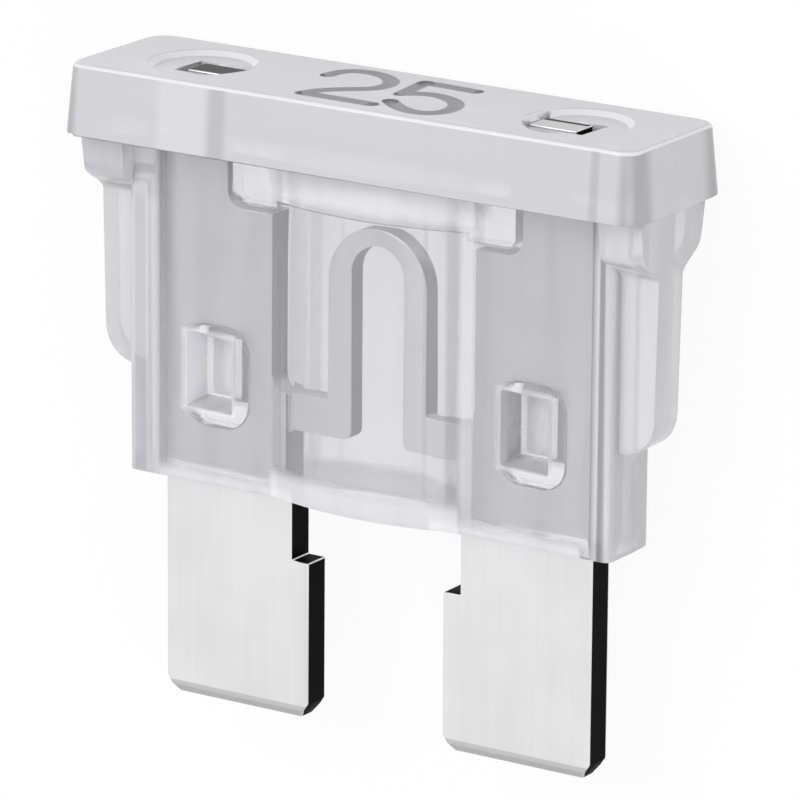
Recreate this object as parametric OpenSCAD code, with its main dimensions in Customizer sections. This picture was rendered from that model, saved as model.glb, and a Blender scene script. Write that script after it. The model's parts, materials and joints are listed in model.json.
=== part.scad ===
// Plug-in blade fuse of the regular size, lying on its back.
// X runs across the fuse, +Y points from the blades to the cap, and +Z is up, out of its front.
// The origin is under the middle of the outline, on the surface that the fuse lies on.
// One clear moulding holds one stamped metal element: two blades joined by the fusible link.
// Inside the modules, heights along Y count from the blade tips, and Z = 0 is the mid-plane.

/* [Overall] */
// Height from the blade tips to the top of the cap
total_h = 19; // [18.8:0.1:19.2]

/* [Cap] */
// Width of the cap across its lower rim
cap_w = 19.3; // [19.2:0.1:20]
// Thickness of the cap across its lower rim
cap_t = 4.95; // [4.5:0.05:5.6]
// Height of the cap
cap_h = 2.05; // [1.7:0.05:2.2]
// How far each side of the cap leans in from its rim to its top
cap_draft = 0.14; // [0:0.02:0.3]
// Radius of the cap's four upright corners
cap_corner_r = 0.6; // [0.3:0.05:1.4]
// Radius of the edge round the cap's top
cap_edge_r = 0.14; // [0.08:0.02:0.24]

/* [Test points] */
// Distance from the middle of the cap to the centre of each dish
dish_x = 6.3; // [6.2:0.1:6.8]
// Diameter of each dish at the cap's top
dish_d = 3.2; // [3.1:0.1:3.6]
// Diameter of each dish at its floor
dish_floor_d = 2.8; // [2.4:0.1:3]
// Depth of each dish
dish_depth = 0.18; // [0.1:0.02:0.4]
// Gap on both faces of a test tip inside its window
window_side = 0.2; // [0.1:0.05:0.3]
// Gap at the outer end of a test tip inside its window
window_end = 0.35; // [0.2:0.05:0.45]
// Depth of each window below the floor of its dish
window_depth = 0.9; // [0.4:0.1:1.2]

/* [Body] */
// Width of the body below the cap
body_w = 16.4; // [15.9:0.1:17]
// Thickness of the body over the blades
body_t = 2.2; // [2:0.1:2.8]
// Height of the body below the cap
body_h = 10.15; // [9.8:0.05:10.6]
// Radius of the body's upright outer edges
body_edge_r = 0.25; // [0.1:0.05:0.5]
// Width of the arched wall over the fusible link
arch_w = 6; // [5.4:0.1:6.6]
// How far the arched wall stands out from the body at its middle
arch_rise = 0.5; // [0.3:0.05:0.8]
// Thickness of the arched wall
arch_wall = 0.5; // [0.35:0.05:0.6]
// Radius of the hollow edge where the arched wall leaves the body
arch_foot_r = 0.5; // [0.2:0.1:0.8]
// Width of the chamber round the fusible link
chamber_w = 6.4; // [5.8:0.1:6.4]
// Room above the fusible link in its chamber
chamber_room = 0.4; // [0.3:0.1:1]

/* [End ribs] */
// Width across the two end ribs under the cap
rib_w = 18.9; // [18.5:0.1:19.1]
// How far each rib leans in from its top to its foot
rib_draft = 0.12; // [0:0.02:0.3]
// Thickness of each rib
rib_t = 1.3; // [0.8:0.1:1.8]
// Height of each rib below the cap
rib_h = 7.1; // [6.4:0.1:7.8]
// Radius of the rounded foot of each rib
rib_foot_r = 1.12; // [0.6:0.02:1.2]
// Thickness of the thick shoulder at the top of each rib
shoulder_t = 3.4; // [2.6:0.1:4]
// How far each face of the shoulder leans in before its slope
shoulder_draft = 0.15; // [0:0.05:0.3]
// Height of the shoulder's straight part below the cap
shoulder_h = 1.15; // [0.9:0.05:1.8]
// Height of the slope from the shoulder to the rib
shoulder_slope_h = 0.85; // [0.2:0.05:1]

/* [Blades] */
// Distance across the outer edges of the two blades
blade_span = 14.56; // [14.2:0.02:14.8]
// Width of each blade at its free end
blade_w = 4.96; // [4.7:0.02:5.2]
// Thickness of the blades
blade_t = 0.9; // [0.6:0.05:1]
// Height of the step where each blade becomes narrower
step_h = 4.76; // [4.2:0.02:5.2]
// Width of that step
step_w = 0.57; // [0.3:0.01:0.7]
// Width of the cut at each lower corner of a blade
tip_cut_w = 0.33; // [0.1:0.01:0.6]
// Height of the cut at each lower corner of a blade
tip_cut_h = 0.5; // [0.3:0.05:0.8]
// Height of the bevel on both faces of a blade's end
tip_bevel_h = 0.26; // [0.1:0.02:0.5]
// Depth of the bevel on both faces of a blade's end
tip_bevel_t = 0.2; // [0.05:0.01:0.25]

/* [Upper element] */
// How much narrower the element is above the bridges than at the neck
waist_cut = 0.56; // [0.3:0.01:0.7]
// Height of the shoulder beside each tab
tab_base_h = 15.07; // [14.7:0.01:15.3]
// Width of each tab
tab_w = 2.3; // [2:0.05:2.5]
// Height of each tab's top
tab_top_h = 16.8; // [16.3:0.05:17]
// Width of each test tip
tip_w = 1.55; // [1.2:0.05:1.8]
// How far each test tip's top lies below the top of the cap
tip_recess = 0.16; // [0.1:0.02:0.6]
// Radius of the inner corner beside each tab
tab_corner_r = 0.5; // [0.2:0.05:0.6]

/* [Fusible link] */
// Width of the link's strip
link_w = 0.76; // [0.6:0.02:0.84]
// Width of the strip at the top of its bow, where it melts
bow_w = 0.52; // [0.4:0.02:0.7]
// Gap between the two legs of the link
link_gap = 1.73; // [1.5:0.01:1.8]
// Thickness of the link
link_t = 0.6; // [0.3:0.05:0.6]
// Height of the top of the link's bow
link_top_h = 15.1; // [14.8:0.1:15.4]
// Height of the underside of the bridges between link and blades
bridge_low_h = 8.72; // [8.4:0.02:9]
// Height of the bridge strips
bridge_w = 1.13; // [0.8:0.01:1.4]
// Radius of the lower inner corners of the link
link_foot_r = 0.28; // [0.1:0.02:0.3]

/* [Stakes] */
// Width of the hole in each blade
hole_w = 2.3; // [2.2:0.05:2.5]
// Height of the hole in each blade
hole_h = 3.05; // [2.9:0.05:3.3]
// Radius of the corners of that hole
hole_corner_r = 0.8; // [0.6:0.05:1]
// Height of the middle of each hole
hole_y = 9.95; // [9.7:0.05:10.2]
// Width of the pocket pressed in over each hole
pocket_w = 1.6; // [1.3:0.05:1.6]
// Height of that pocket
pocket_h = 2.2; // [1.8:0.05:2.2]
// How far each wall of the pocket leans in towards its floor
pocket_draft = 0.18; // [0.05:0.01:0.25]
// How much higher the pocket's middle is than the hole's
pocket_up = 0.2; // [0:0.05:0.2]
// Plastic left between the front and back pockets
stake_core_t = 0.5; // [0.3:0.05:0.8]

/* [Fit] */
// Gap between the faces of the element and its slot
slot_gap = 0.05; // [0.03:0.01:0.08]
// Gap between the outer edge of each blade and the end of its slot
end_gap = 0.2; // [0.05:0.01:0.3]
// Gap above each shoulder and beside each tab
shoulder_gap = 0.22; // [0.1:0.01:0.3]
// Gap between a stake and its hole
stake_gap = 0.04; // [0.02:0.01:0.08]
// How much wider each side of a slot is at its mouth
mouth_flare = 0.3; // [0.1:0.05:0.35]
// Height of the flared mouth
mouth_h = 0.45; // [0.2:0.05:0.7]

/* [Hidden] */
// Facets round a small circle, round the wide arch, and on a quarter round or a slope of an outline
circle_fn = 64;
arch_fn = 180;
quarter_steps = 8;
// Layers that round the cap's top edge, and the thickness of one layer
cap_layers = 4;
slab = 0.01;
// Overlap between joined parts of one piece, and reach of a cutter past a face
lap = 0.2;
past = 1;
// Heights of the undersides of the cap, the body, the ribs and the windows, and of the tops of the
// chamber and the test tips
cap_low = total_h - cap_h;
body_low = cap_low - body_h;
rib_low = cap_low - rib_h;
window_low = total_h - dish_depth - window_depth;
chamber_top = link_top_h + chamber_room;
tip_top_h = total_h - tip_recess;
// Arched wall: radius of its outer face, and how far its centre lies behind the mid-plane
arch_r = (pow(arch_w / 2, 2) + pow(arch_rise, 2)) / (2 * arch_rise);
arch_back = arch_r - body_t / 2 - arch_rise;
// Hollow edge of the arched wall: the place of its centre, and how high it meets the wall
hollow_high = body_t / 2 + arch_foot_r;
hollow_x = sqrt(pow(arch_r + arch_foot_r, 2) - pow(arch_back + hollow_high, 2));
hollow_top = (arch_back + hollow_high) * arch_r / (arch_r + arch_foot_r) - arch_back;
// Blade edges: outside, inside at the free end, at the neck, above the bridges and at the tab
blade_out = blade_span / 2;
blade_in = blade_out - blade_w;
neck_in = blade_in + step_w;
waist_in = neck_in + waist_cut;
tab_in = blade_out - tab_w;
hole_x = (waist_in + blade_out) / 2;
slot_t = blade_t + 2 * slot_gap;
// Fusible link: edges of a leg, the centres of its bow outside and inside, and the top of its bridges
leg_in = link_gap / 2;
leg_out = leg_in + link_w;
bow_h = link_top_h - leg_out;
bow_inside_h = link_top_h - bow_w - leg_in;
bridge_top_h = bridge_low_h + bridge_w;

// Quarter round of radius r about a centre, from its right-hand point to its lowest point.
function quarter(x, y, r) =
    [for (i = [0:quarter_steps]) let (a = -90 * i / quarter_steps) [x + r * cos(a), y + r * sin(a)]];

// Lays what is drawn upright from the blade tips on its back, over the origin.
module laid_flat() {
    translate([0, -total_h / 2, cap_t / 2]) children();
}

// Draws a shape on the right and its mirror image on the left.
module both_sides() {
    children();
    mirror([1, 0, 0]) children();
}

// Draws a shape on the front and its mirror image on the back.
module both_faces() {
    children();
    mirror([0, 0, 1]) children();
}

// Raises a section, X across and Y through the thickness, from one height to another.
module raised(low, high) {
    translate([0, low, 0]) rotate([-90, 0, 0]) linear_extrude(high - low) children();
}

// Runs an end view, X through the thickness and Y upright, across the fuse from x1 to x2.
module across(x1, x2) {
    translate([x2, 0, 0]) rotate([0, -90, 0]) linear_extrude(x2 - x1) children();
}

// Rectangle with round corners, about its centre.
module round_rect(w, h, r) {
    square([w - 2 * r, h], center = true);
    square([w, h - 2 * r], center = true);
    for (x = [-1, 1], y = [-1, 1])
        translate([x * (w / 2 - r), y * (h / 2 - r)]) circle(r, $fn = circle_fn);
}

// Section of the two arched walls, up to a radius and a width.
module lens(r, w) {
    intersection() {
        translate([0, -arch_back]) circle(r, $fn = arch_fn);
        translate([0, arch_back]) circle(r, $fn = arch_fn);
        square([w, 2 * r], center = true);
    }
}

// One level of the cap, drawn in from the rim by an inset.
module cap_level(height, inset) {
    raised(height - slab, height) round_rect(cap_w - 2 * inset, cap_t - 2 * inset, cap_corner_r);
}

// Cap that leans in from its rim and is rounded round its top.
module cap() {
    hull() {
        cap_level(cap_low + slab, 0);
        for (i = [0:cap_layers]) let (a = 90 * i / cap_layers)
            cap_level(total_h - cap_edge_r * (1 - sin(a)), cap_draft + cap_edge_r * (1 - cos(a)));
    }
}

// Section of the hollow edge on the right, at the foot of one arched wall.
module arch_foot() {
    difference() {
        square([hollow_x, hollow_top]);
        translate([hollow_x, hollow_high]) circle(arch_foot_r, $fn = circle_fn);
    }
}

// Flat body over the blades with the arched walls over the link.
module body() {
    raised(body_low, cap_low + lap) {
        round_rect(body_w, body_t, body_edge_r);
        lens(arch_r, arch_w);
        both_sides() {
            arch_foot();
            mirror([0, 1]) arch_foot();
        }
    }
}

// Right-hand end rib in the front view, with its lean and its rounded foot.
module rib_outline() {
    root = body_w / 2 - lap;
    foot_x = rib_w / 2 - rib_draft - rib_foot_r;
    polygon(concat([[root, cap_low + lap], [rib_w / 2, cap_low + lap]],
        quarter(foot_x, rib_low + rib_foot_r, rib_foot_r), [[root, rib_low]]));
}

// Half of the rib's end view: the thick shoulder, its soft slope and the thin rib.
module rib_end_view() {
    slope_high = cap_low - shoulder_h;
    slope_x = shoulder_t / 2 - shoulder_draft;
    middle = (slope_x + rib_t / 2) / 2;
    reach = (slope_x - rib_t / 2) / 2;
    polygon(concat([[0, cap_low + lap], [shoulder_t / 2, cap_low + lap], [shoulder_t / 2, cap_low]],
        [for (i = [0:quarter_steps]) let (share = i / quarter_steps)
            [middle + reach * cos(180 * share), slope_high - shoulder_slope_h * share]],
        [[rib_t / 2, rib_low - past], [0, rib_low - past]]));
}

// Right-hand end rib.
module rib() {
    intersection() {
        linear_extrude(shoulder_t, center = true) rib_outline();
        across(0, rib_w) {
            rib_end_view();
            mirror([1, 0]) rib_end_view();
        }
    }
}

// Space inside the housing for the element, open at the bottom and at the windows over the test tips.
module element_space() {
    linear_extrude(slot_t, center = true) {
        translate([-blade_out - end_gap, body_low - past])
            square([blade_span + 2 * end_gap, tab_base_h + shoulder_gap - body_low + past]);
        both_sides() {
            translate([tab_in - shoulder_gap, body_low])
                square([tab_w + shoulder_gap + end_gap, tab_top_h + slot_gap - body_low]);
            translate([tab_in - slot_gap, body_low])
                square([tip_w + 2 * slot_gap, total_h + past - body_low]);
            tab_corner_space();
        }
    }
    linear_extrude(blade_t + 2 * window_side, center = true) both_sides()
        translate([tab_in - slot_gap, window_low])
            square([tip_w + slot_gap + window_end, total_h + past - window_low]);
    raised(body_low - past, chamber_top) lens(arch_r - arch_wall, chamber_w);
    both_sides() across(neck_in - slot_gap - mouth_flare, blade_out + end_gap + mouth_flare)
        mouth_end_view();
}

// Room in the slot for the rounded inner corner beside the right-hand tab.
module tab_corner_space() {
    polygon(concat(
        quarter(tab_in - tab_corner_r, tab_base_h + tab_corner_r, tab_corner_r - shoulder_gap),
        [[tab_in - tab_corner_r, tab_base_h], [tab_in, tab_base_h], [tab_in, tab_base_h + tab_corner_r]]));
}

// End view of the flared mouth at the bottom of a slot.
module mouth_end_view() {
    half = slot_t / 2;
    polygon([[-half, body_low + mouth_h], [half, body_low + mouth_h],
        [half + mouth_flare, body_low], [half + mouth_flare, body_low - past],
        [-half - mouth_flare, body_low - past], [-half - mouth_flare, body_low]]);
}

// Plug of the housing's own plastic that fills the hole in the right-hand blade.
module stake() {
    translate([hole_x, hole_y]) linear_extrude(slot_t + 2 * lap, center = true)
        round_rect(hole_w - 2 * stake_gap, hole_h - 2 * stake_gap, hole_corner_r - stake_gap);
}

// One level of a pocket's opening, drawn in by an inset.
module pocket_level(height, inset) {
    translate([0, 0, height]) linear_extrude(slab)
        square([pocket_w - 2 * inset, pocket_h - 2 * inset], center = true);
}

// Pocket that the staking tool leaves over the right-hand hole, in the front.
module stake_pocket() {
    translate([hole_x, hole_y + pocket_up, 0]) hull() {
        pocket_level(stake_core_t / 2, pocket_draft);
        pocket_level(body_t / 2, 0);
    }
}

// Round dish over the right-hand test tip, cut on past the cap's top at the same slope.
module dish() {
    slope = (dish_d - dish_floor_d) / dish_depth;
    translate([dish_x, total_h - dish_depth, 0]) rotate([-90, 0, 0])
        cylinder(h = dish_depth + lap, d1 = dish_floor_d, d2 = dish_d + slope * lap, $fn = circle_fn);
}

// Clear moulded housing: cap, body and end ribs in one piece, staked through the blades.
module housing() {
    color([0.86, 0.86, 0.89, 0.7]) laid_flat() difference() {
        union() {
            difference() {
                union() {
                    cap();
                    body();
                    both_sides() rib();
                }
                element_space();
            }
            both_sides() stake();
        }
        both_sides() both_faces() stake_pocket();
        both_sides() dish();
    }
}

// Right-hand blade in the front view, up to its test tip, with the hole for the stake.
module blade_outline() {
    difference() {
        polygon(concat([[blade_in + tip_cut_w, 0], [blade_out - tip_cut_w, 0],
            [blade_out, tip_cut_h], [blade_out, tab_top_h], [tab_in + tip_w, tab_top_h],
            [tab_in + tip_w, tip_top_h], [tab_in, tip_top_h]],
            quarter(tab_in - tab_corner_r, tab_base_h + tab_corner_r, tab_corner_r),
            [[waist_in, tab_base_h]],
            quarter(neck_in, bridge_top_h + waist_cut, waist_cut),
            [[neck_in, step_h], [blade_in, step_h], [blade_in, tip_cut_h]]));
        translate([hole_x, hole_y]) round_rect(hole_w, hole_h, hole_corner_r);
    }
}

// End view of a blade, with the bevels on both faces of its free end.
module blade_end_view() {
    half = blade_t / 2;
    polygon([[tip_bevel_t - half, 0], [half - tip_bevel_t, 0], [half, tip_bevel_h],
        [half, total_h], [-half, total_h], [-half, tip_bevel_h]]);
}

// Link in the front view: two legs, the bow over them, and the bridges out to the blades.
module link_outline() {
    foot = [leg_in + link_foot_r, bridge_low_h + link_foot_r];
    difference() {
        union() {
            translate([0, bow_h]) circle(leg_out, $fn = circle_fn);
            translate([-leg_out, bridge_low_h]) square([2 * leg_out, bow_h - bridge_low_h]);
            translate([-neck_in - lap, bridge_low_h]) square([2 * (neck_in + lap), bridge_w]);
        }
        translate([0, bow_inside_h]) circle(leg_in, $fn = circle_fn);
        translate([-leg_in, bridge_low_h - past])
            square([link_gap, bow_inside_h - bridge_low_h + past]);
        both_sides() difference() {
            translate([leg_in - lap, bridge_low_h - lap]) square(link_foot_r + lap);
            translate(foot) circle(link_foot_r, $fn = circle_fn);
        }
    }
}

// Stamped element: two blades of full thickness and the thinner link between them.
module fuse_element() {
    color([0.75, 0.75, 0.77]) laid_flat() {
        intersection() {
            linear_extrude(blade_t, center = true) both_sides() blade_outline();
            across(-blade_span, blade_span) blade_end_view();
        }
        linear_extrude(link_t, center = true) link_outline();
    }
}

housing();
fuse_element();
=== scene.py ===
"""Looks of the plug-in blade fuse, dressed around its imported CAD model.

The fuse lies on its back. X runs across it, +Y points from the blade tips to the cap, and +Z comes
out of its front. Lengths are in metres, and in millimetres where the name ends in _mm.
"""

import json
import logging
import math
from dataclasses import dataclass, field
from enum import Enum
from typing import Sequence, Union

import bmesh
import bpy
from mathutils import Matrix, Vector
from mathutils.bvhtree import BVHTree

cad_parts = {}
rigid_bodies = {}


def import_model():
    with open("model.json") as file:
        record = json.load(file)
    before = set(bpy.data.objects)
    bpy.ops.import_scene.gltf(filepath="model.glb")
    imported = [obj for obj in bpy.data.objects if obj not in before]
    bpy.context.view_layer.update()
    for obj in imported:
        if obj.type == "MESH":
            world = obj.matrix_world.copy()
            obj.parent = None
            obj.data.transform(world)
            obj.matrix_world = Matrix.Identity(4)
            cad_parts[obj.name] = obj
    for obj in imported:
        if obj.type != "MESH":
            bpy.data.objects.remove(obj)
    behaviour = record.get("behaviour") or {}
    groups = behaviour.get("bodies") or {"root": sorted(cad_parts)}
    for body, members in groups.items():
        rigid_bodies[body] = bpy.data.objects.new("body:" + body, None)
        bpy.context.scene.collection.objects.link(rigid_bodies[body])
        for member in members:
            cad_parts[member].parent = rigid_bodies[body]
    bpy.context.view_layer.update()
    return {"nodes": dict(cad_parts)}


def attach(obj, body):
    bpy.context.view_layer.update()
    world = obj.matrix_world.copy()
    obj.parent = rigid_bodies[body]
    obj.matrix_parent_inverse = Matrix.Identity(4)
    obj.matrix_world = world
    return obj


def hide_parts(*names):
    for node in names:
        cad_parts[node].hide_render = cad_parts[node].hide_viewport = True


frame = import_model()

LOG = logging.getLogger("blade_fuse")
BODY = "root"
MM = 0.001

# Middle of the fuse's thickness.
MIDDLE_MM = 2.475

# Points this close are one point: first the CAD's loose corners, then the ends of its slivers.
LOOSE_MM = 0.001
SLIVER_MM = 0.022
FLAT_DEG = 0.6

# Rounding of edges, in widths of the rounding: how long a neighbouring edge has to be, and how far
# round a crossing the edges stay sharp. An edge runs straight on where the cosine between it and
# its neighbour, both seen from their shared corner, is below STRAIGHT_ON.
ROOM_WIDTHS = 3
BARRED_WIDTHS = 2.5
STRAIGHT_ON = -0.8
ROUNDING_TRIES = 5
NO_LENGTH = 1e-18
FACE_WEIGHT = 100

# The Mix node's colour sockets come after those for numbers and vectors.
MIX_COLOURS = (6, 7)
MIX_RESULT = 2

Colour = tuple[float, float, float]
Number = Union["Scalar", float, int]
Paint = Union[Colour, bpy.types.NodeSocket]

# A Step holds where a smooth step starts and ends. A Band holds its middle, half its width, and the
# width of its soft border.
Step = tuple[float, float]
Band = tuple[float, float, float]

WHITE: Colour = (1.0, 1.0, 1.0)


class Axis(Enum):
    """Axes of the row's frame, with their place in a vector."""

    X = 0
    Y = 1
    Z = 2


class Finish(Enum):
    """Finishes of the metal element, with their material slot."""

    ROLLED = 0
    SHEARED = 1
    STRUCK = 2


class Scalar:
    """A number socket of a shader tree that takes part in Python arithmetic."""

    def __init__(self, bench: "ShaderBench", socket: bpy.types.NodeSocket) -> None:
        """Wraps the output socket that carries a number."""
        self.bench = bench
        self.socket = socket

    def _math(self, operation: str, first: Number, second: Number, clamp: bool = False) -> "Scalar":
        """Result of one Math node, kept between 0 and 1 where it clamps."""
        node = self.bench.add("ShaderNodeMath", {"operation": operation, "use_clamp": clamp},
                              {0: first, 1: second})
        return Scalar(self.bench, node.outputs[0])

    def __add__(self, other: Number) -> "Scalar":
        """Sum."""
        return self._math("ADD", self, other)

    __radd__ = __add__

    def __sub__(self, other: Number) -> "Scalar":
        """Difference."""
        return self._math("SUBTRACT", self, other)

    def __rsub__(self, other: Number) -> "Scalar":
        """Difference, with this value taken from the other."""
        return self._math("SUBTRACT", other, self)

    def __mul__(self, other: Number) -> "Scalar":
        """Product."""
        return self._math("MULTIPLY", self, other)

    __rmul__ = __mul__

    def clamped(self) -> "Scalar":
        """Keeps the value between 0 and 1."""
        return self._math("ADD", self, 0.0, clamp=True)

    def size(self) -> "Scalar":
        """Value without its sign."""
        return self._math("ABSOLUTE", self, 0.0)

    def larger(self, other: Number) -> "Scalar":
        """Larger of two values."""
        return self._math("MAXIMUM", self, other)

    def toward(self, other: Number, share: Number) -> "Scalar":
        """Goes a share of the way to another value."""
        return self + (other - self) * share

    def rise(self, start: float, end: float) -> "Scalar":
        """Smooth step, which is 0 up to the start and 1 from the end on."""
        node = self.bench.add(
            "ShaderNodeMapRange", {"interpolation_type": "SMOOTHSTEP"},
            {"Value": self, "From Min": start, "From Max": end, "To Min": 0.0, "To Max": 1.0})
        return Scalar(self.bench, node.outputs["Result"])

    def inside(self, middle: float, half: float, soft: float) -> "Scalar":
        """Band that is 1 within half its width of the middle, with a soft border outside that."""
        return 1 - (self - middle).size().rise(half, half + soft)


@dataclass(frozen=True)
class Grain:
    """Grain of a noise: grains to a millimetre, their fineness along each axis, and finer layers."""

    per_mm: float
    stretch: tuple[float, float, float] = (1.0, 1.0, 1.0)
    detail: float = 2.0


class ShaderBench:
    """A material's or world's node tree, and the one method that adds nodes to it."""

    def __init__(self, tree: bpy.types.NodeTree) -> None:
        """Starts from an empty tree."""
        self.tree = tree
        tree.nodes.clear()

    def add(self, kind: str, settings: dict | None = None,
            values: dict | None = None) -> bpy.types.Node:
        """Adds a node.

        Args:
            kind: the node's type.
            settings: attributes of the node, which are set first.
            values: a value, a socket or a Scalar for each input, by name or number.

        Returns:
            The new node.
        """
        node = self.tree.nodes.new(kind)
        for key, value in (settings or {}).items():
            setattr(node, key, value)
        for key, value in (values or {}).items():
            socket = node.inputs[key]
            if isinstance(value, Scalar):
                value = value.socket
            if isinstance(value, bpy.types.NodeSocket):
                self.tree.links.new(value, socket)
            else:
                socket.default_value = value
        return node

    def place(self) -> bpy.types.NodeSocket:
        """Point on the piece, in the row's frame."""
        return self.add("ShaderNodeTexCoord").outputs["Object"]

    def along(self, axis: Axis) -> Scalar:
        """Coordinate along one axis, in millimetres."""
        split = self.add("ShaderNodeSeparateXYZ", values={0: self.place()})
        return Scalar(self, split.outputs[axis.value]) * (1 / MM)

    def facing(self, axis: Axis) -> Scalar:
        """Part of the surface's own normal along one axis.

        Args:
            axis: the axis.

        Returns:
            The part, from -1 to 1.
        """
        normal = self.add("ShaderNodeTexCoord").outputs["Normal"]
        split = self.add("ShaderNodeSeparateXYZ", values={0: normal})
        return Scalar(self, split.outputs[axis.value])

    def noise(self, grain: Grain) -> Scalar:
        """Noise over the piece.

        Args:
            grain: size and direction of its grain.

        Returns:
            Noise round 0.5.
        """
        mapping = self.add("ShaderNodeMapping",
                           values={"Vector": self.place(), "Scale": grain.stretch})
        node = self.add("ShaderNodeTexNoise", {"normalize": True},
                        {"Vector": mapping.outputs[0], "Scale": grain.per_mm / MM,
                         "Detail": grain.detail})
        return Scalar(self, node.outputs["Fac"])

    def blend(self, share: Number, first: Paint, second: Paint) -> bpy.types.NodeSocket:
        """Colour between two colours.

        Args:
            share: share of the second colour.
            first: colour at share 0, or the socket that carries it.
            second: colour at share 1, or the socket that carries it.

        Returns:
            The mixed colour.
        """
        ends = {place: paint if isinstance(paint, bpy.types.NodeSocket) else (*paint, 1.0)
                for place, paint in zip(MIX_COLOURS, (first, second))}
        node = self.add("ShaderNodeMix", {"data_type": "RGBA"}, {0: share, **ends})
        return node.outputs[MIX_RESULT]

    def layered(self, ground: Paint, coats: Sequence[tuple[Scalar, Colour]]) -> Paint:
        """Lays colours over each other.

        Args:
            ground: the colour under them all.
            coats: a mask and a colour for each coat, the lowest first.

        Returns:
            The colour that shows.
        """
        for mask, colour in coats:
            ground = self.blend(mask, ground, colour)
        return ground

    def bump(self, height: Scalar, depth_mm: float) -> bpy.types.NodeSocket:
        """Normal of a surface with a fine relief of this depth, from its height between 0 and 1."""
        node = self.add("ShaderNodeBump", values={"Height": height, "Distance": depth_mm * MM})
        return node.outputs[0]

    def mixed(self, share: Scalar, first: bpy.types.Node,
              second: bpy.types.Node) -> bpy.types.NodeSocket:
        """Mix of two shaders, with this share of the second."""
        ends = {1: first.outputs[0], 2: second.outputs[0]}
        return self.add("ShaderNodeMixShader", values={0: share, **ends}).outputs[0]

    def surface(self, shader: bpy.types.NodeSocket, kind: str = "ShaderNodeOutputMaterial") -> None:
        """Connects a shader to the output."""
        self.add(kind, values={"Surface": shader})


def new_material(name: str) -> tuple[bpy.types.Material, ShaderBench]:
    """Makes an empty material.

    Args:
        name: its name.

    Returns:
        The material and its shader bench.
    """
    material = bpy.data.materials.new(name)
    material.use_nodes = True
    return material, ShaderBench(material.node_tree)


@dataclass(frozen=True)
class HousingPlaces:
    """Where the housing's plastic looks different, and where shade and light are painted on it.

    A place across the part is measured from its middle to both sides. A place by reach lies at x on
    the front and at -x on the back, so it follows the part's two-fold symmetry. A turn is a part of
    the surface's own normal.
    """

    side_mm: Step = (-0.2, 0.2)
    skin_mm: Step = (0.95, 1.0)
    cap_mm: Step = (7.05, 7.47)
    thin_across_mm: Band = (0.0, 3.1, 0.2)
    crown_across_mm: Band = (0.0, 3.1, 0.4)
    crown_mm: Step = (6.05, 6.55)
    end_across_mm: Step = (7.5, 7.7)
    end_reach_mm: Step = (-7.2, -7.0)
    pocket_across_mm: Band = (5.365, 0.85, 0.2)
    pocket_mm: Band = (0.65, 1.15, 0.2)
    pocket_wall_turn: Step = (0.5, 0.8)
    mouth_across_mm: Band = (4.8, 2.4, 0.1)
    mouth_mm: Step = (-2.58, -2.18)
    rim_mm: Step = (-2.2, -1.7)
    # Painted shade: dark stripes at the arch's feet and at a crease, standing in for walls seen
    # refracted through the plastic.
    foot_across_mm: Band = (2.97, 0.1, 0.18)
    crease_across_mm: Band = (2.2, 0.02, 0.1)
    crease_share: float = 0.5
    heel_across_mm: Band = (3.45, 0.12, 0.15)
    heel_share: float = 0.6
    # Painted shade: a dark line and a dark band near the two ends, standing in for refracted walls.
    line_across_mm: Band = (7.87, 0.05, 0.07)
    band_reach_mm: Band = (-7.76, 0.14, 0.12)
    # Painted shade on the shoulders' faces, on one hand.
    shoulder_mm: Step = (5.4, 5.8)
    shoulder_turn: Step = (0.3, 0.6)
    cap_side_turn: Step = (0.3, 0.5)
    # Painted highlight along the cap's rounded top edges.
    cap_edge_highlight_turn: Band = (0.62, 0.2, 0.1)
    # Painted light and painted shade on the cap's sides, standing in for walls seen refracted
    # through it; its outer corners get painted shade too.
    cap_window_light_reach_mm: Band = (-5.4, 0.6, 0.4)
    cap_refraction_shade_reach_mm: tuple[Band, Band] = ((-4.2, 0.12, 0.3), (8.33, 0.06, 0.15))
    cap_refraction_shade_share: float = 0.6
    corner_across_mm: Step = (8.95, 9.3)
    corner_depth_mm: Step = (1.2, 1.8)
    corner_turn: Step = (0.3, 0.7)


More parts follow.
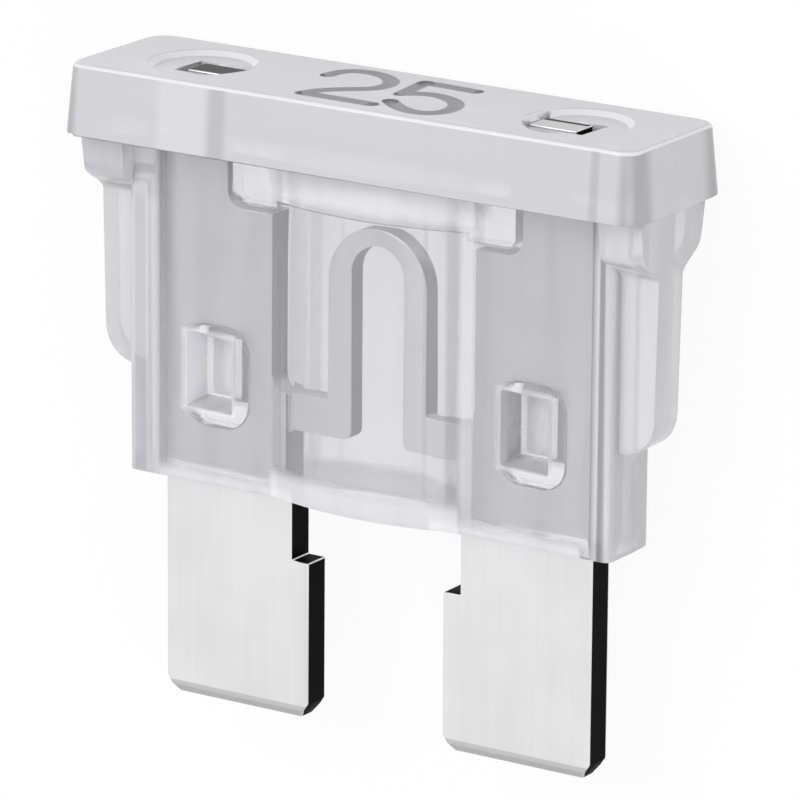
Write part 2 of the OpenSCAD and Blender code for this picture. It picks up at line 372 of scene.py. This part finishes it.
class HousingMasks:
    """The housing's places as masks: 1 in a place and 0 beyond its soft border."""

    def __init__(self, bench: ShaderBench, at: HousingPlaces) -> None:
        """Adds the masks to the plastic's node tree.

        Args:
            bench: the plastic's shader bench.
            at: the places.
        """
        x, height = bench.along(Axis.X), bench.along(Axis.Y)
        depth = bench.along(Axis.Z) - MIDDLE_MM
        across, out = x.size(), depth.size()
        upward = bench.facing(Axis.Y)
        right, front = x.rise(*at.side_mm), depth.rise(*at.side_mm)
        handed = right * front + (1 - right) * (1 - front)
        reach = x * (front * 2 - 1)
        far = reach.rise(*at.side_mm)
        skin = out.rise(*at.skin_mm)
        self.cap = height.rise(*at.cap_mm)
        below_cap = 1 - self.cap
        self.thin = across.inside(*at.thin_across_mm)
        self.crown = across.inside(*at.crown_across_mm) * height.rise(*at.crown_mm)
        self.end = across.rise(*at.end_across_mm).larger(1 - reach.rise(*at.end_reach_mm))
        self.pocket = across.inside(*at.pocket_across_mm) * height.inside(*at.pocket_mm)
        steep = bench.facing(Axis.X).size().rise(*at.pocket_wall_turn)
        self.pocket_wall = self.pocket * steep * (1 - far)
        self.far_pocket = self.pocket * far
        self.mouth = across.inside(*at.mouth_across_mm) * (1 - height.rise(*at.mouth_mm))
        self.rim = self.thin * (1 - height.rise(*at.rim_mm))
        self.heel = across.inside(*at.heel_across_mm) * skin * handed * at.heel_share
        # Painted shade: a dark line and a dark band near the ends, and dark stripes at a crease and
        # at the arch's feet, all standing in for refracted walls.
        self.line = across.inside(*at.line_across_mm) * skin * handed * below_cap
        crease = across.inside(*at.crease_across_mm) * handed * at.crease_share
        foot = across.inside(*at.foot_across_mm).larger(crease)
        self.dark = (foot * skin).larger(self.line)
        self.band = reach.inside(*at.band_reach_mm) * below_cap
        # Painted shade on the faces of the shoulders of one hand.
        on_face = bench.facing(Axis.Z).size().rise(*at.shoulder_turn)
        self.shoulder = (1 - handed) * self.end * height.rise(*at.shoulder_mm) * on_face
        # Painted light and painted shade on the cap's sides where refracted walls would show, and
        # painted shade on its outer corners.
        cap_side = 1 - upward.rise(*at.cap_side_turn)
        marks, more_cap_shade = (reach.inside(*band) for band in at.cap_refraction_shade_reach_mm)
        corner = across.rise(*at.corner_across_mm) * out.rise(*at.corner_depth_mm)
        corner = corner * (1 - upward.rise(*at.corner_turn))
        self.cap_refraction_shade = (marks.larger(more_cap_shade) * cap_side * at.cap_refraction_shade_share).larger(corner)
        self.cap_window_light = reach.inside(*at.cap_window_light_reach_mm) * cap_side
        # Painted highlight along the cap's rounded top edges.
        self.cap_edge_highlight = upward.inside(*at.cap_edge_highlight_turn)


@dataclass(frozen=True)
class ClearPlastic:
    """Clear moulding plastic, milkier where the moulding is thick or frosted, with painted shade and
    light where refraction and lamps would show them.
    """

    name: str = "clear_plastic"
    tint: Colour = (0.905, 0.905, 0.925)
    thin_tint: Colour = (0.985, 0.985, 1.0)
    # Painted shade: the darker tint of the stripes where refracted walls would show.
    shade_tint: Colour = (0.52, 0.52, 0.54)
    body_white: Colour = (0.84, 0.84, 0.88)
    crown_white: Colour = (0.70, 0.70, 0.74)
    end_white: Colour = (0.73, 0.73, 0.77)
    rim_white: Colour = (0.74, 0.74, 0.78)
    # Painted shade: the dark band near an end.
    band_shade: Colour = (0.56, 0.56, 0.60)
    pocket_white: Colour = (0.74, 0.74, 0.78)
    # Painted shade on the shoulders' faces.
    shoulder_shade: Colour = (0.64, 0.64, 0.68)
    mouth_white: Colour = (0.88, 0.88, 0.91)
    # Painted shade: the dark line near an end.
    line_shade: Colour = (0.30, 0.30, 0.32)
    cap_white: Colour = (0.595, 0.595, 0.63)
    # Painted light and painted shade on the cap where refracted walls would show.
    cap_painted_light: Colour = (0.66, 0.66, 0.695)
    cap_painted_shade: Colour = (0.42, 0.42, 0.45)
    # Painted highlight along the cap's rounded top edges.
    cap_edge_highlight: Colour = (0.80, 0.80, 0.84)
    body_milk: float = 0.2
    end_milk: float = 0.62
    crown_milk: float = 0.6
    pocket_milk: float = 0.5
    pocket_wall_milk: float = 0.9
    mouth_milk: float = 0.55
    rim_milk: float = 0.75
    cap_milk: float = 0.88
    gloss: float = 0.05
    milk_gloss: float = 0.16
    pocket_haze: float = 0.22
    refraction: float = 1.49
    streaks: Grain = Grain(0.9, (1.0, 0.08, 0.3))
    streak_milk: float = 0.24
    cap_streak: float = 0.3
    flow: Grain = Grain(1.2, (1.0, 0.25, 1.0))
    flow_depth_mm: float = 0.003
    flow_haze: float = 0.03
    places: HousingPlaces = HousingPlaces()

    def make(self) -> bpy.types.Material:
        """Builds the material.

        Returns:
            The finished material.
        """
        material, bench = new_material(self.name)
        on = HousingMasks(bench, self.places)
        streak = (bench.noise(self.streaks) - 0.5) * self.streak_milk
        flow = bench.noise(self.flow)
        normal = bench.bump(flow, self.flow_depth_mm)
        haze = (flow - 0.5) * self.flow_haze + on.pocket * self.pocket_haze + self.gloss
        # The tint is lighter where the plastic is thin, and darker in the stripes of painted shade.
        tint = bench.layered(self.tint, ((on.thin, self.thin_tint), (on.dark, self.shade_tint)))
        white = bench.blend((on.cap + streak * self.cap_streak).clamped(),
                            self.body_colour(bench, on), self.cap_colour(bench, on))
        clear = bench.add("ShaderNodeBsdfPrincipled", values={
            "Base Color": tint,
            "Roughness": haze,
            "Normal": normal,
            "IOR": self.refraction,
            "Transmission Weight": 1.0,
        })
        milky = bench.add("ShaderNodeBsdfPrincipled", values={
            "Base Color": white,
            "Roughness": haze + (self.milk_gloss - self.gloss),
            "Normal": normal,
            "IOR": self.refraction,
        })
        bench.surface(bench.mixed(self.milk(on, streak), clear, milky))
        return material

    def milk(self, on: HousingMasks, streak: Scalar) -> Scalar:
        """Works out how milky the plastic is.

        Args:
            on: the housing's places.
            streak: streaks of more or less milk.

        Returns:
            Share of the milky plastic.
        """
        share = on.end * (self.end_milk - self.body_milk) + self.body_milk
        share = share.toward(self.crown_milk, on.crown.larger(on.heel))
        share = share.toward(self.pocket_milk, on.pocket)
        share = share.toward(self.pocket_wall_milk, on.pocket_wall)
        share = share.toward(self.mouth_milk, on.mouth)
        share = share.toward(self.rim_milk, on.rim) + streak
        return share.toward(self.cap_milk, on.cap).clamped()

    def body_colour(self, bench: ShaderBench, on: HousingMasks) -> Paint:
        """Colour of the milky plastic below the cap, with painted shade in a band and a line near
        the ends and on the shoulders.

        Args:
            bench: the plastic's shader bench.
            on: the housing's places.

        Returns:
            The colour.
        """
        return bench.layered(self.body_white, (
            (on.crown, self.crown_white),
            (on.end, self.end_white),
            (on.rim, self.rim_white),
            (on.band, self.band_shade),
            (on.far_pocket, self.pocket_white),
            (on.shoulder, self.shoulder_shade),
            (on.mouth, self.mouth_white),
            (on.line, self.line_shade),
        ))

    def cap_colour(self, bench: ShaderBench, on: HousingMasks) -> Paint:
        """Colour of the milky plastic of the cap, with painted light and shade where refracted walls
        would show and a painted highlight along its top edges.

        Args:
            bench: the plastic's shader bench.
            on: the housing's places.

        Returns:
            The colour.
        """
        return bench.layered(self.cap_white, (
            (on.cap_window_light, self.cap_painted_light),
            (on.cap_refraction_shade, self.cap_painted_shade),
            (on.cap_edge_highlight, self.cap_edge_highlight),
        ))


@dataclass(frozen=True)
class EngravedPlastic:
    """The same plastic, frosted inside the engraved figures and painted dark there as their shade,
    the walls darker than the floors.
    """

    name: str = "engraved_plastic"
    # Painted shade in the grooves: dark walls, and floors less dark where they face up.
    wall: Colour = (0.15, 0.15, 0.165)
    floor: Colour = (0.30, 0.30, 0.32)
    floor_turn: Step = (0.75, 0.98)
    roughness: float = 0.55
    frost: Grain = Grain(12.0)
    frost_depth_mm: float = 0.004
    frost_haze: float = 0.2

    def make(self) -> bpy.types.Material:
        """Builds the material.

        Returns:
            The finished material.
        """
        material, bench = new_material(self.name)
        on_floor = bench.facing(Axis.Y).rise(*self.floor_turn)
        frost = bench.noise(self.frost)
        principled = bench.add("ShaderNodeBsdfPrincipled", values={
            "Base Color": bench.blend(on_floor, self.wall, self.floor),
            "Roughness": (frost - 0.5) * self.frost_haze + self.roughness,
            "Normal": bench.bump(frost, self.frost_depth_mm),
        })
        bench.surface(principled.outputs[0])
        return material


@dataclass(frozen=True)
class RolledZinc:
    """Faces of the rolled zinc strip: satin, with fine marks along the blades, and painted shade on
    one half of the link.
    """

    name: str = "zinc_alloy"
    light: Colour = (0.745, 0.745, 0.755)
    dull: Colour = (0.695, 0.695, 0.705)
    # Painted shade on the link: its left half on the front and its right half on the back.
    link_shade: Colour = (0.63, 0.63, 0.64)
    rubbed: Colour = (0.52, 0.52, 0.53)
    side_mm: Step = (-0.05, 0.05)
    link_shade_reach_mm: Band = (-0.9, 1.2, 0.6)
    tip_mm: Step = (-9.125, -9.095)
    roughness: float = 0.38
    marks: Grain = Grain(6.0, (1.0, 0.04, 1.0), 3.0)
    marks_depth_mm: float = 0.0015
    marks_haze: float = 0.08
    patches: Grain = Grain(0.35)
    patch_share: float = 0.7
    light_from: Step = (0.35, 0.65)

    def make(self) -> bpy.types.Material:
        """Builds the material.

        Returns:
            The finished material.
        """
        material, bench = new_material(self.name)
        marks = bench.noise(self.marks)
        patches = bench.noise(self.patches)
        lightness = patches * self.patch_share + marks * (1 - self.patch_share)
        front = (bench.along(Axis.Z) - MIDDLE_MM).rise(*self.side_mm)
        reach = bench.along(Axis.X) * (front * 2 - 1)
        colour = bench.blend(lightness.rise(*self.light_from), self.dull, self.light)
        # Painted shade on the link, then the rubbed tips.
        colour = bench.layered(colour, (
            (reach.inside(*self.link_shade_reach_mm), self.link_shade),
            (1 - bench.along(Axis.Y).rise(*self.tip_mm), self.rubbed),
        ))
        principled = bench.add("ShaderNodeBsdfPrincipled", values={
            "Base Color": colour,
            "Metallic": 1.0,
            "Roughness": (marks - 0.5) * self.marks_haze + self.roughness,
            "Normal": bench.bump(marks, self.marks_depth_mm),
        })
        bench.surface(principled.outputs[0])
        return material


@dataclass(frozen=True)
class ShearedEdge:
    """Edges that the press sheared, painted black as their dark reflection, with painted glints
    where they face the cap in the housing and painted light and shade on the tabs' tops.
    """

    name: str = "sheared_edge_painted_light"
    # Painted reflection: the edges black, with a painted glint where they face up inside the
    # housing.
    dark: Colour = (0.004, 0.004, 0.004)
    edge_glint: Colour = (0.9, 0.9, 0.9)
    # Painted light and shade on the tabs' tops: shade on the left one, light on the right one, and a
    # dark line of painted shade along its back edge.
    left_tab_shade: Colour = (0.10, 0.10, 0.10)
    right_tab_light: Colour = (0.58, 0.58, 0.58)
    tab_shade_line: Colour = (0.06, 0.06, 0.06)
    in_housing_mm: Step = (-2.8, -2.6)
    upward_turn: Step = (0.3, 0.8)
    tab_mm: Step = (6.95, 7.05)
    right_mm: Step = (-1.0, 1.0)
    line_mm: Step = (2.21, 2.27)
    specular: float = 0.02
    roughness: float = 0.5
    tears: Grain = Grain(9.0, (1.0, 1.0, 0.1))
    tears_depth_mm: float = 0.003
    tears_haze: float = 0.2

    def make(self) -> bpy.types.Material:
        """Builds the material.

        Returns:
            The finished material.
        """
        material, bench = new_material(self.name)
        # Painted glints on edges that face up inside the housing, and painted light and shade on the
        # tabs' tops.
        upward = bench.facing(Axis.Y).rise(*self.upward_turn)
        in_housing = bench.along(Axis.Y).rise(*self.in_housing_mm)
        on_tab = bench.along(Axis.Y).rise(*self.tab_mm) * upward
        lit = bench.along(Axis.Z).rise(*self.line_mm)
        right_tab_light = bench.blend(lit, self.tab_shade_line, self.right_tab_light)
        tab = bench.blend(bench.along(Axis.X).rise(*self.right_mm), self.left_tab_shade, right_tab_light)
        edge = bench.blend(in_housing * upward, self.dark, self.edge_glint)
        tears = bench.noise(self.tears)
        principled = bench.add("ShaderNodeBsdfPrincipled", values={
            "Base Color": bench.blend(on_tab, edge, tab),
            "Roughness": (tears - 0.5) * self.tears_haze + self.roughness,
            "Specular IOR Level": self.specular,
            "Normal": bench.bump(tears, self.tears_depth_mm),
        })
        bench.surface(principled.outputs[0])
        return material


@dataclass(frozen=True)
class StruckBevel:
    """Bevels struck on the blades' free ends, painted a mid grey as the shade of their tilted faces.
    """

    name: str = "struck_bevel_painted_shade"
    # Painted shade: the tilted bevels darker than the rolled faces.
    colour: Colour = (0.47, 0.47, 0.48)
    rubbed: Colour = (0.38, 0.38, 0.39)
    metallic: float = 0.8
    roughness: float = 0.42
    rubs: Grain = Grain(7.0, (0.15, 1.0, 1.0))
    rubs_depth_mm: float = 0.002
    rubs_haze: float = 0.1

    def make(self) -> bpy.types.Material:
        """Builds the material.

        Returns:
            The finished material.
        """
        material, bench = new_material(self.name)
        rubs = bench.noise(self.rubs)
        principled = bench.add("ShaderNodeBsdfPrincipled", values={
            "Base Color": bench.blend(rubs, self.rubbed, self.colour),
            "Metallic": self.metallic,
            "Roughness": (rubs - 0.5) * self.rubs_haze + self.roughness,
            "Normal": bench.bump(rubs, self.rubs_depth_mm),
        })
        bench.surface(principled.outputs[0])
        return material


def deselect_all() -> None:
    """Clears the selection."""
    for other in bpy.context.view_layer.objects:
        other.select_set(False)


def take(piece: bpy.types.Object) -> None:
    """Makes a piece the only one selected, and active.

    Args:
        piece: the piece.
    """
    deselect_all()
    piece.select_set(True)
    bpy.context.view_layer.objects.active = piece


def cleaned_copy(node: str, name: str) -> bpy.types.Object:
    """Copies a CAD node, merges its loose triangles and joins its flat faces.

    Args:
        node: name of the CAD node.
        name: name of the new piece.

    Returns:
        The new piece, with its own mesh at the CAD's place.
    """
    source = frame["nodes"][node]
    piece = source.copy()
    piece.data = source.data.copy()
    piece.name = name
    piece.parent = None
    for key in list(piece.keys()):
        del piece[key]
    bpy.context.scene.collection.objects.link(piece)
    take(piece)
    bpy.ops.object.mode_set(mode="EDIT")
    bpy.ops.mesh.select_all(action="SELECT")
    for reach in (LOOSE_MM, SLIVER_MM):
        bpy.ops.mesh.remove_doubles(threshold=reach * MM)
        bpy.ops.mesh.dissolve_limited(angle_limit=math.radians(FLAT_DEG))
    bpy.ops.object.mode_set(mode="OBJECT")
    piece.data.materials.clear()
    return piece


def crossings(piece: bpy.types.Object) -> list[Vector]:
    """Finds where a piece's own faces cross.

    Args:
        piece: the piece.

    Returns:
        A place for each pair of faces that cross without touching: the middle of the smaller one.
    """
    shape = bmesh.new()
    shape.from_mesh(piece.data)
    bmesh.ops.triangulate(shape, faces=shape.faces[:])
    shape.faces.ensure_lookup_table()
    tree = BVHTree.FromBMesh(shape)
    spots = []
    for first, second in tree.overlap(tree):
        pair = sorted((shape.faces[first], shape.faces[second]), key=lambda face: face.calc_area())
        if not set(pair[0].verts) & set(pair[1].verts):
            spots.append(pair[0].calc_center_median())
    shape.free()
    return spots


def distance(edge: bmesh.types.BMEdge, spot: Vector) -> float:
    """Distance from an edge to a place.

    Args:
        edge: the edge.
        spot: the place.

    Returns:
        The shortest distance, in metres.
    """
    start, end = (vert.co for vert in edge.verts)
    share = (spot - start).dot(end - start) / max((end - start).length_squared, NO_LENGTH)
    return (start.lerp(end, min(max(share, 0.0), 1.0)) - spot).length


def is_tight(edge: bmesh.types.BMEdge, sharp: set[bmesh.types.BMEdge], radius: float) -> bool:
    """Tells whether an edge's neighbours are too short for its rounding.

    Args:
        edge: the edge.
        sharp: all edges that would be rounded.
        radius: width of the rounding, in metres.

    Returns:
        True where the rounding would run past a neighbour's far end.
    """
    for vert in edge.verts:
        along = (edge.other_vert(vert).co - vert.co).normalized()
        for other in vert.link_edges:
            if other is edge:
                continue
            onward = (other.other_vert(vert).co - vert.co).normalized()
            if other in sharp and along.dot(onward) < STRAIGHT_ON:
                continue
            if other.calc_length() < ROOM_WIDTHS * radius:
                return True
    return False


def mark_roomy_edges(piece: bpy.types.Object, radius_mm: float, angle: float,
                     barred: list[Vector]) -> None:
    """Marks the sharp edges that have room for a rounding.

    Args:
        piece: the piece.
        radius_mm: width of the rounding.
        angle: smallest turn of a sharp edge, in degrees.
        barred: places whose edges stay as they are.
    """
    radius = radius_mm * MM
    shape = bmesh.new()
    shape.from_mesh(piece.data)
    weight = shape.edges.layers.float.new("bevel_weight_edge")
    sharp = {edge for edge in shape.edges
             if edge.calc_face_angle(0) > math.radians(angle)
             and all(distance(edge, spot) > BARRED_WIDTHS * radius for spot in barred)}
    tight = sharp
    while tight:
        tight = {edge for edge in sharp if is_tight(edge, sharp, radius)}
        sharp -= tight
    for edge in sharp:
        edge[weight] = 1.0
    shape.to_mesh(piece.data)
    shape.free()


def soften(piece: bpy.types.Object, radius_mm: float, segments: int, angle: float = 35.0,
           rim_slot: int = -1) -> None:
    """Rounds a piece's sharp edges, apart from those whose rounding would run into another.

    Args:
        piece: the piece.
        radius_mm: width of the rounding.
        segments: facets across it.
        angle: smallest turn of an edge that is rounded, in degrees.
        rim_slot: number of the rounding's own finish, or -1 for that of the faces beside it.
    """
    plain = piece.data.copy()
    barred: list[Vector] = []
    for _ in range(ROUNDING_TRIES):
        mark_roomy_edges(piece, radius_mm, angle, barred)
        take(piece)
        bevel = piece.modifiers.new("edges", "BEVEL")
        bevel.width = radius_mm * MM
        bevel.segments = segments
        bevel.limit_method = "WEIGHT"
        bevel.miter_outer = "MITER_ARC"
        bevel.use_clamp_overlap = False
        bevel.material = rim_slot
        bpy.ops.object.modifier_apply(modifier=bevel.name)
        spots = crossings(piece)
        LOG.info("%s: %d crossings of rounded edges", piece.name, len(spots))
        if not spots:
            return
        barred += spots
        piece.data = plain.copy()


def smooth(piece: bpy.types.Object, angle: float = 30.0) -> None:
    """Shades a piece smooth, with its flat faces kept flat.

    Args:
        piece: the piece.
        angle: smallest turn of an edge that stays sharp, in degrees.
    """
    take(piece)
    bpy.ops.object.shade_smooth_by_angle(angle=math.radians(angle))
    even = piece.modifiers.new("normals", "WEIGHTED_NORMAL")
    even.mode = "FACE_AREA"
    even.weight = FACE_WEIGHT
    even.keep_sharp = True
    bpy.ops.object.modifier_apply(modifier=even.name)


def declare(piece: bpy.types.Object, node: str) -> None:
    """Tells the frame that a piece stands for a CAD node.

    Args:
        piece: the finished piece.
        node: the CAD node it replaces.
    """
    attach(piece, BODY)
    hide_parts(node)
    LOG.info("%s: %d faces, in place of %s", piece.name, len(piece.data.polygons), node)


@dataclass
class RatingFigures:
    """The rating, 25, engraved in the cap's top between the dishes."""

    top_mm: float = 9.5
    width_mm: float = 0.5
    depth_mm: float = 0.12
    rod_facets: int = 3
    curve_steps: int = 6
    end_segments: int = 16
    end_rings: int = 9
    strokes: tuple[tuple[tuple[float, float], ...], ...] = (
        ((-2.46, 1.80), (-2.40, 1.38), (-2.20, 1.04), (-1.81, 0.88), (-1.35, 0.91), (-0.85, 1.14),
         (-0.50, 1.52), (-0.37, 1.98), (-0.50, 2.42), (-0.90, 2.80), (-1.32, 3.15), (-1.64, 3.55),
         (-1.84, 4.00)),
        ((-1.84, 4.00), (0.48, 4.03)),
        ((2.07, 1.10), (0.33, 1.00)),
        ((0.33, 1.00), (0.51, 2.54)),
        ((0.51, 2.54), (0.74, 2.34), (1.01, 2.18), (1.41, 2.12), (1.86, 2.25), (2.27, 2.50),
         (2.54, 2.86), (2.67, 3.33), (2.58, 3.77), (2.33, 4.04), (1.96, 4.12), (1.53, 4.01),
         (1.09, 3.74), (0.71, 3.41)),
    )

    def radius(self) -> float:
        """Radius of the round cutter that leaves the groove's width and depth, in millimetres."""
        half = self.width_mm / 2
        return (half * half + self.depth_mm * self.depth_mm) / (2 * self.depth_mm)

    def rod(self, stroke: tuple[tuple[float, float], ...]) -> list[bpy.types.Object]:
        """Lays a round-ended rod along a stroke, drawn flat in X and Y.

        Args:
            stroke: the stroke's points.

        Returns:
            The rod's curve and the balls at its two ends.
        """
        bpy.ops.curve.primitive_bezier_curve_add()
        curve = bpy.context.object
        points = curve.data.splines[0].bezier_points
        points.add(len(stroke) - len(points))
        for point, (x, y) in zip(points, stroke):
            point.co = Vector((x, y, 0)) * MM
            point.handle_left_type = point.handle_right_type = "AUTO"
        curve.data.resolution_u = self.curve_steps
        curve.data.bevel_depth = self.radius() * MM
        curve.data.bevel_resolution = self.rod_facets
        curve.data.use_fill_caps = True
        pieces = [curve]
        for x, y in (stroke[0], stroke[-1]):
            bpy.ops.mesh.primitive_uv_sphere_add(
                segments=self.end_segments, ring_count=self.end_rings,
                radius=self.radius() * MM, location=(x * MM, y * MM, 0))
            pieces.append(bpy.context.object)
        return pieces

    def cutter(self) -> bpy.types.Object:
        """Builds the tool that engraves the figures.

        Returns:
            One mesh with a round-ended rod along each stroke, above the cap's top.
        """
        deselect_all()
        rods = [piece for stroke in self.strokes for piece in self.rod(stroke)]
        deselect_all()
        for rod in rods:
            rod.select_set(True)
        bpy.context.view_layer.objects.active = rods[0]
        bpy.ops.object.convert(target="MESH")
        bpy.ops.object.join()
        tool = bpy.context.object
        tool.name = "figure_cutter"
        tool.data.transform(tool.matrix_world)
        tool.matrix_world = Matrix.Identity(4)
        # A quarter turn about X stands the flat drawing up on the cap's top.
        turn = Matrix(((1, 0, 0, 0), (0, 0, -1, 0), (0, 1, 0, 0), (0, 0, 0, 1)))
        lift = self.top_mm + self.radius() - self.depth_mm
        tool.data.transform(Matrix.Translation((0, lift * MM, 0)) @ turn)
        return tool


@dataclass
class Housing:
    """Clear moulded housing, with soft edges and the engraved rating."""

    node: str = "housing"
    slot: str = "clear_plastic"
    edge_mm: float = 0.05
    edge_facets: int = 2
    plastic: ClearPlastic = field(default_factory=ClearPlastic)
    engraved: EngravedPlastic = field(default_factory=EngravedPlastic)
    figures: RatingFigures = field(default_factory=RatingFigures)

    def build(self) -> bpy.types.Object:
        """Returns:
            The finished piece.
        """
        piece = cleaned_copy(self.node, "clear_housing")
        soften(piece, self.edge_mm, self.edge_facets)
        piece.data.materials.append(self.plastic.make())
        self.engrave(piece)
        smooth(piece)
        declare(piece, self.node)
        return piece

    def engrave(self, piece: bpy.types.Object) -> None:
        """Cuts the figures into the cap's top.

        Args:
            piece: the housing.
        """
        tool = self.figures.cutter()
        tool.data.materials.clear()
        tool.data.materials.append(self.engraved.make())
        for face in tool.data.polygons:
            face.use_smooth = True
        take(piece)
        cut = piece.modifiers.new("figures", "BOOLEAN")
        cut.operation = "DIFFERENCE"
        cut.solver = "EXACT"
        cut.use_self = True
        cut.material_mode = "TRANSFER"
        cut.object = tool
        bpy.ops.object.modifier_apply(modifier=cut.name)
        bpy.data.objects.remove(tool)


@dataclass
class FuseElement:
    """Stamped zinc element: two blades and the link between them."""

    node: str = "fuse_element"
    slot: str = "zinc_alloy"
    edge_mm: float = 0.035
    edge_facets: int = 2
    bevel_top_mm: float = -9.1
    flat_turn: float = 0.95
    side_turn: float = 0.3
    rolled: RolledZinc = field(default_factory=RolledZinc)
    sheared: ShearedEdge = field(default_factory=ShearedEdge)
    struck: StruckBevel = field(default_factory=StruckBevel)

    def build(self) -> bpy.types.Object:
        """Returns:
            The finished piece.
        """
        piece = cleaned_copy(self.node, "stamped_element")
        for finish in (self.rolled, self.sheared, self.struck):
            piece.data.materials.append(finish.make())
        for face in piece.data.polygons:
            face.material_index = self.finish_of(face).value
        soften(piece, self.edge_mm, self.edge_facets, rim_slot=Finish.ROLLED.value)
        smooth(piece)
        declare(piece, self.node)
        return piece

    def finish_of(self, face: bpy.types.MeshPolygon) -> Finish:
        """Chooses a face's finish by where it is and which way it points.

        Args:
            face: the face.

        Returns:
            Its finish.
        """
        if abs(face.normal.z) > self.flat_turn:
            return Finish.ROLLED
        if face.center.y < self.bevel_top_mm * MM and abs(face.normal.x) < self.side_turn:
            return Finish.STRUCK
        return Finish.SHEARED


@dataclass
class PhotoCamera:
    """Camera that stands where the photograph was taken from."""

    focal_px: float = 6860.5
    picture_px: float = 800.0
    sensor_mm: float = 36.0
    distance_mm: float = 201.515
    azimuth: float = 33.110
    elevation: float = 16.030
    roll: float = 0.440
    target_mm: tuple[float, float, float] = (-2.801, -1.198, -2.593)
    clip_m: tuple[float, float] = (0.01, 10.0)

    def build(self) -> bpy.types.Object:
        """Adds the camera and makes it the scene's.

        Returns:
            The camera.
        """
        turn, tilt, roll = (math.radians(a) for a in (self.azimuth, self.elevation, self.roll))
        ahead = Vector((-math.sin(turn) * math.cos(tilt), -math.sin(tilt),
                        -math.cos(turn) * math.cos(tilt)))
        right = Vector((math.cos(turn), 0, -math.sin(turn)))
        up = right.cross(ahead)
        level_right = right * math.cos(roll) + up * math.sin(roll)
        level_up = up * math.cos(roll) - right * math.sin(roll)
        place = (Vector(self.target_mm) - ahead * self.distance_mm) * MM
        bpy.ops.object.camera_add()
        camera = bpy.context.object
        camera.name = "photo_camera"
        camera.data.sensor_width = self.sensor_mm
        camera.data.lens = self.sensor_mm * self.focal_px / self.picture_px
        camera.data.clip_start, camera.data.clip_end = self.clip_m
        basis = Matrix((level_right, level_up, -ahead)).transposed().to_4x4()
        camera.matrix_world = Matrix.Translation(place) @ basis
        bpy.context.scene.camera = camera
        return camera


@dataclass
class SoftLamp:
    """One large square lamp that shines on the fuse."""

    name: str
    place_mm: tuple[float, float, float]
    side_mm: float
    watts: float

    def build(self) -> None:
        """Adds the lamp, turned to the fuse."""
        place = Vector(self.place_mm) * MM
        bpy.ops.object.light_add(type="AREA", location=place)
        lamp = bpy.context.object
        lamp.name = self.name
        lamp.data.shape = "SQUARE"
        lamp.data.size = self.side_mm * MM
        lamp.data.energy = self.watts
        lamp.rotation_euler = (-place).to_track_quat("-Z", "Y").to_euler()


@dataclass
class Studio:
    """Pale floor, even surroundings and soft lamps."""

    floor_mm: float = 900.0
    floor_colour: Colour = (0.85, 0.85, 0.85)
    floor_share: float = 0.92
    surroundings: float = 0.72
    lamps: Sequence[SoftLamp] = (
        SoftLamp("key_lamp", (-110.0, 170.0, 315.0), 220.0, 0.58),
        SoftLamp("fill_lamp", (260.0, -60.0, 220.0), 260.0, 0.31),
    )

    def build(self) -> None:
        """Builds the floor, the surroundings and the lamps."""
        bpy.ops.mesh.primitive_plane_add(size=self.floor_mm * MM)
        floor = bpy.context.object
        floor.name = "floor"
        floor.data.materials.append(self.floor_material())
        self.build_world()
        for lamp in self.lamps:
            lamp.build()

    def seen_directly(self, bench: ShaderBench) -> Scalar:
        """Finds the rays that show the background as it is.

        Args:
            bench: the shader bench of the floor or the surroundings.

        Returns:
            1 for rays from the camera, also by way of gloss or glass.
        """
        path = bench.add("ShaderNodeLightPath")
        camera, glossy, through = (Scalar(bench, path.outputs[name]) for name in (
            "Is Camera Ray", "Is Glossy Ray", "Is Transmission Ray"))
        return camera.larger(glossy).larger(through)

    def floor_material(self) -> bpy.types.Material:
        """Builds the floor's finish, white to the camera with a faint shadow.

        Returns:
            The finished material.
        """
        material, bench = new_material("pale_floor")
        matt = bench.add("ShaderNodeBsdfDiffuse", values={"Color": (*self.floor_colour, 1.0)})
        white = bench.add("ShaderNodeEmission", values={"Color": (*WHITE, 1.0), "Strength": 1.0})
        bench.surface(bench.mixed(self.seen_directly(bench) * self.floor_share, matt, white))
        return material

    def build_world(self) -> None:
        """Builds the even surroundings, white where the camera sees them."""
        world = bpy.data.worlds.new("surroundings")
        world.use_nodes = True
        bpy.context.scene.world = world
        bench = ShaderBench(world.node_tree)
        even, white = (
            bench.add("ShaderNodeBackground", values={"Color": (*WHITE, 1.0), "Strength": strength})
            for strength in (self.surroundings, 1.0))
        bench.surface(bench.mixed(self.seen_directly(bench), even, white), "ShaderNodeOutputWorld")


def main() -> None:
    """Builds the fuse, its studio and its camera."""
    logging.basicConfig(level=logging.INFO, format="%(name)s: %(message)s")
    deselect_all()
    PhotoCamera().build()
    FuseElement().build()
    Housing().build()
    Studio().build()
    bpy.context.scene.view_settings.view_transform = "Standard"


if __name__ == "__main__":
    main()
